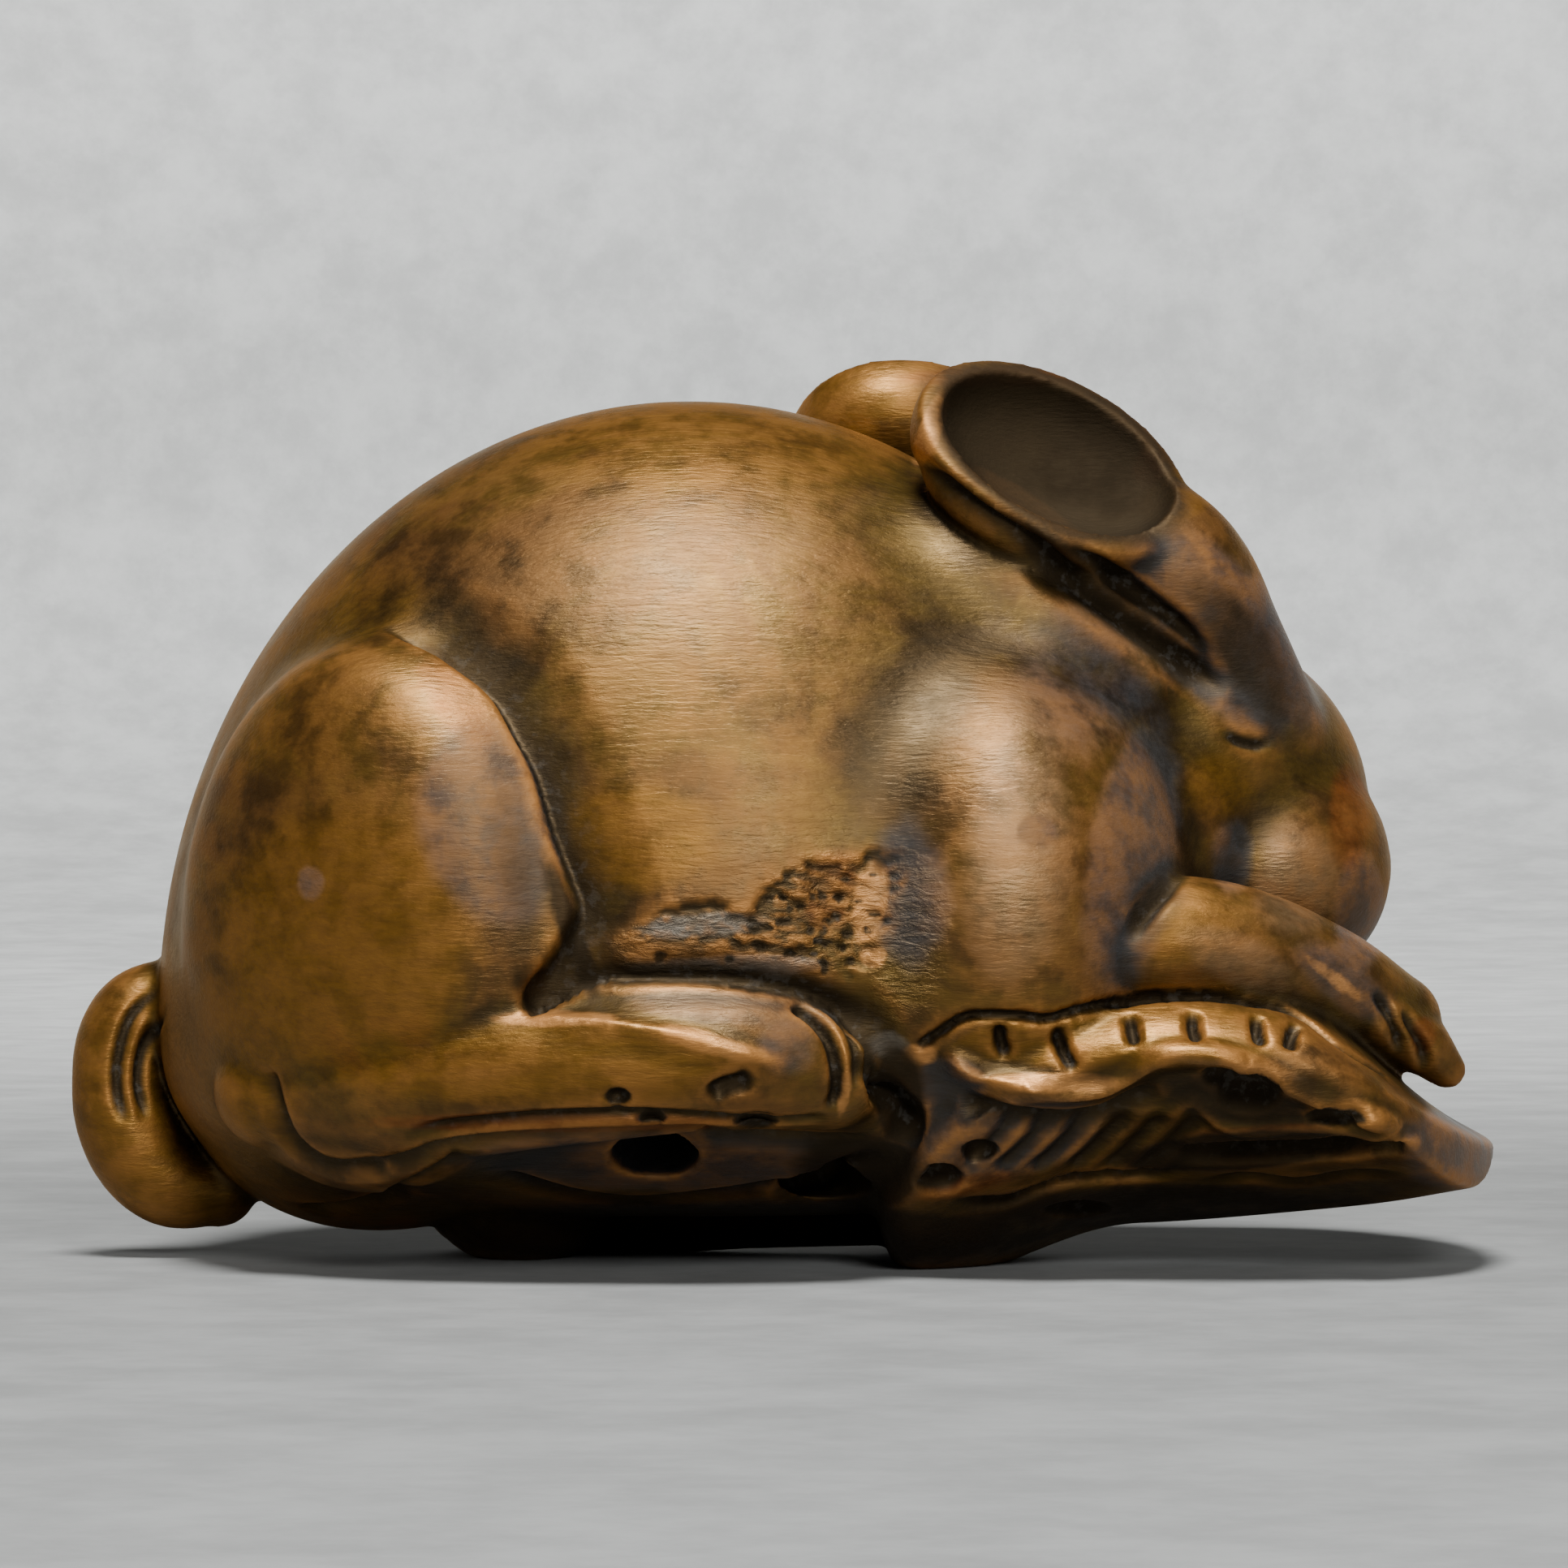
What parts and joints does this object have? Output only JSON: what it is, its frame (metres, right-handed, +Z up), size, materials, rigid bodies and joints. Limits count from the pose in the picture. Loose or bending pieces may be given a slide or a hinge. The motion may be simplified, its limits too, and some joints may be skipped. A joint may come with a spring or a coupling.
{
  "type": "netsuke",
  "caption": "Carved boxwood toggle: a crouching round-backed puppy with cupped ears lying over an abalone shell, bored underneath for a cord.",
  "frame": {"origin": "middle of the bounding box in X and Y, on the ground plane that the worn flats stand on", "axes": "+X from the tail towards the head and the shell's point, +Y towards the animal's left side, +Z up"},
  "size_m": [0.0438, 0.0254, 0.0281],
  "materials": {
    "boxwood": "satin"
  },
  "bodies": {
    "root": {"netsuke": "boxwood"}
  },
  "joints": []
}
